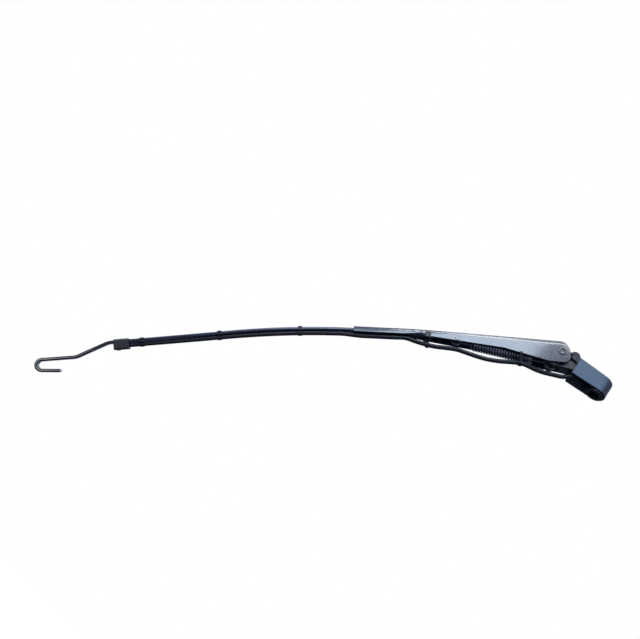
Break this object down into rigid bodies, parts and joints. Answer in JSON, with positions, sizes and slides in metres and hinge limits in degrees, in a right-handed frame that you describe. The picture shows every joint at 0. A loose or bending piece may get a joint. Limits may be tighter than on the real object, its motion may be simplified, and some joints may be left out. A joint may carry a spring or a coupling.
{
  "type": "wiper arm",
  "caption": "Sprung windscreen wiper arm with hinged head under a flip-up cover, pressed channel, J-hook bar and a clipped washer hose.",
  "frame": {"origin": "centre of the spindle bore at the underside of the head", "axes": "+Z along the spindle, away from the glass; the arm runs towards -X and slopes down when closed; +Y across the arm"},
  "size_m": [0.5501, 0.0301, 0.4197],
  "materials": {
    "cast_head": "satin black paint on a die casting",
    "cover_plastic": "satin moulded blue-grey black",
    "pin_steel": "plated",
    "bush": "sintered",
    "painted_sheet": "gloss blue-black paint",
    "painted_bar": "gloss black paint",
    "spring_steel": "black phosphate",
    "hose_rubber": "matte",
    "clip_plastic": "fine matte",
    "nozzle_rubber": "matte",
    "jet_plastic": "semi gloss"
  },
  "bodies": {
    "head": {"head": "cast_head", "cover_pin": "pin_steel", "hinge_bush_near": "bush", "hinge_bush_far": "bush", "hinge_washers": "pin_steel", "spring_pin_head": "pin_steel", "hose_connector": "clip_plastic"},
    "cover": {"head_cover": "cover_plastic"},
    "arm": {"retainer": "painted_sheet", "arm_bar": "painted_bar", "bar_rivets": "painted_sheet", "hinge_pin": "pin_steel", "spring_pin_arm": "pin_steel", "spring": "spring_steel", "washer_hose": "hose_rubber", "hose_clips": "clip_plastic", "neck_clip": "clip_plastic", "hose_holder": "clip_plastic", "nozzle_block": "nozzle_rubber", "nozzle_jets": "jet_plastic"},
    "hook": {"spring_hook": "spring_steel"}
  },
  "joints": [
    {"name": "arm_lift", "type": "hinge", "parent": "head", "child": "arm", "pos_m": [-0.057, 0, 0.0195], "axis": [0, 1, 0], "range_deg": [0, 90], "deforming": ["washer_hose"]},
    {"name": "cover_flip", "type": "hinge", "parent": "head", "child": "cover", "pos_m": [-0.0424, 0, 0.0241], "axis": [0, -1, 0], "range_deg": [0, 90]},
    {"name": "hook_slide", "type": "slide", "parent": "arm", "child": "hook", "axis": [0.8387, 0, 0.5446], "range_m": [0, 0.0197], "deforming": ["spring"]}
  ],
  "couplings": [
    {"joint": "hook_slide", "follows": "arm_lift", "m_per_rad": 0.0125}
  ]
}
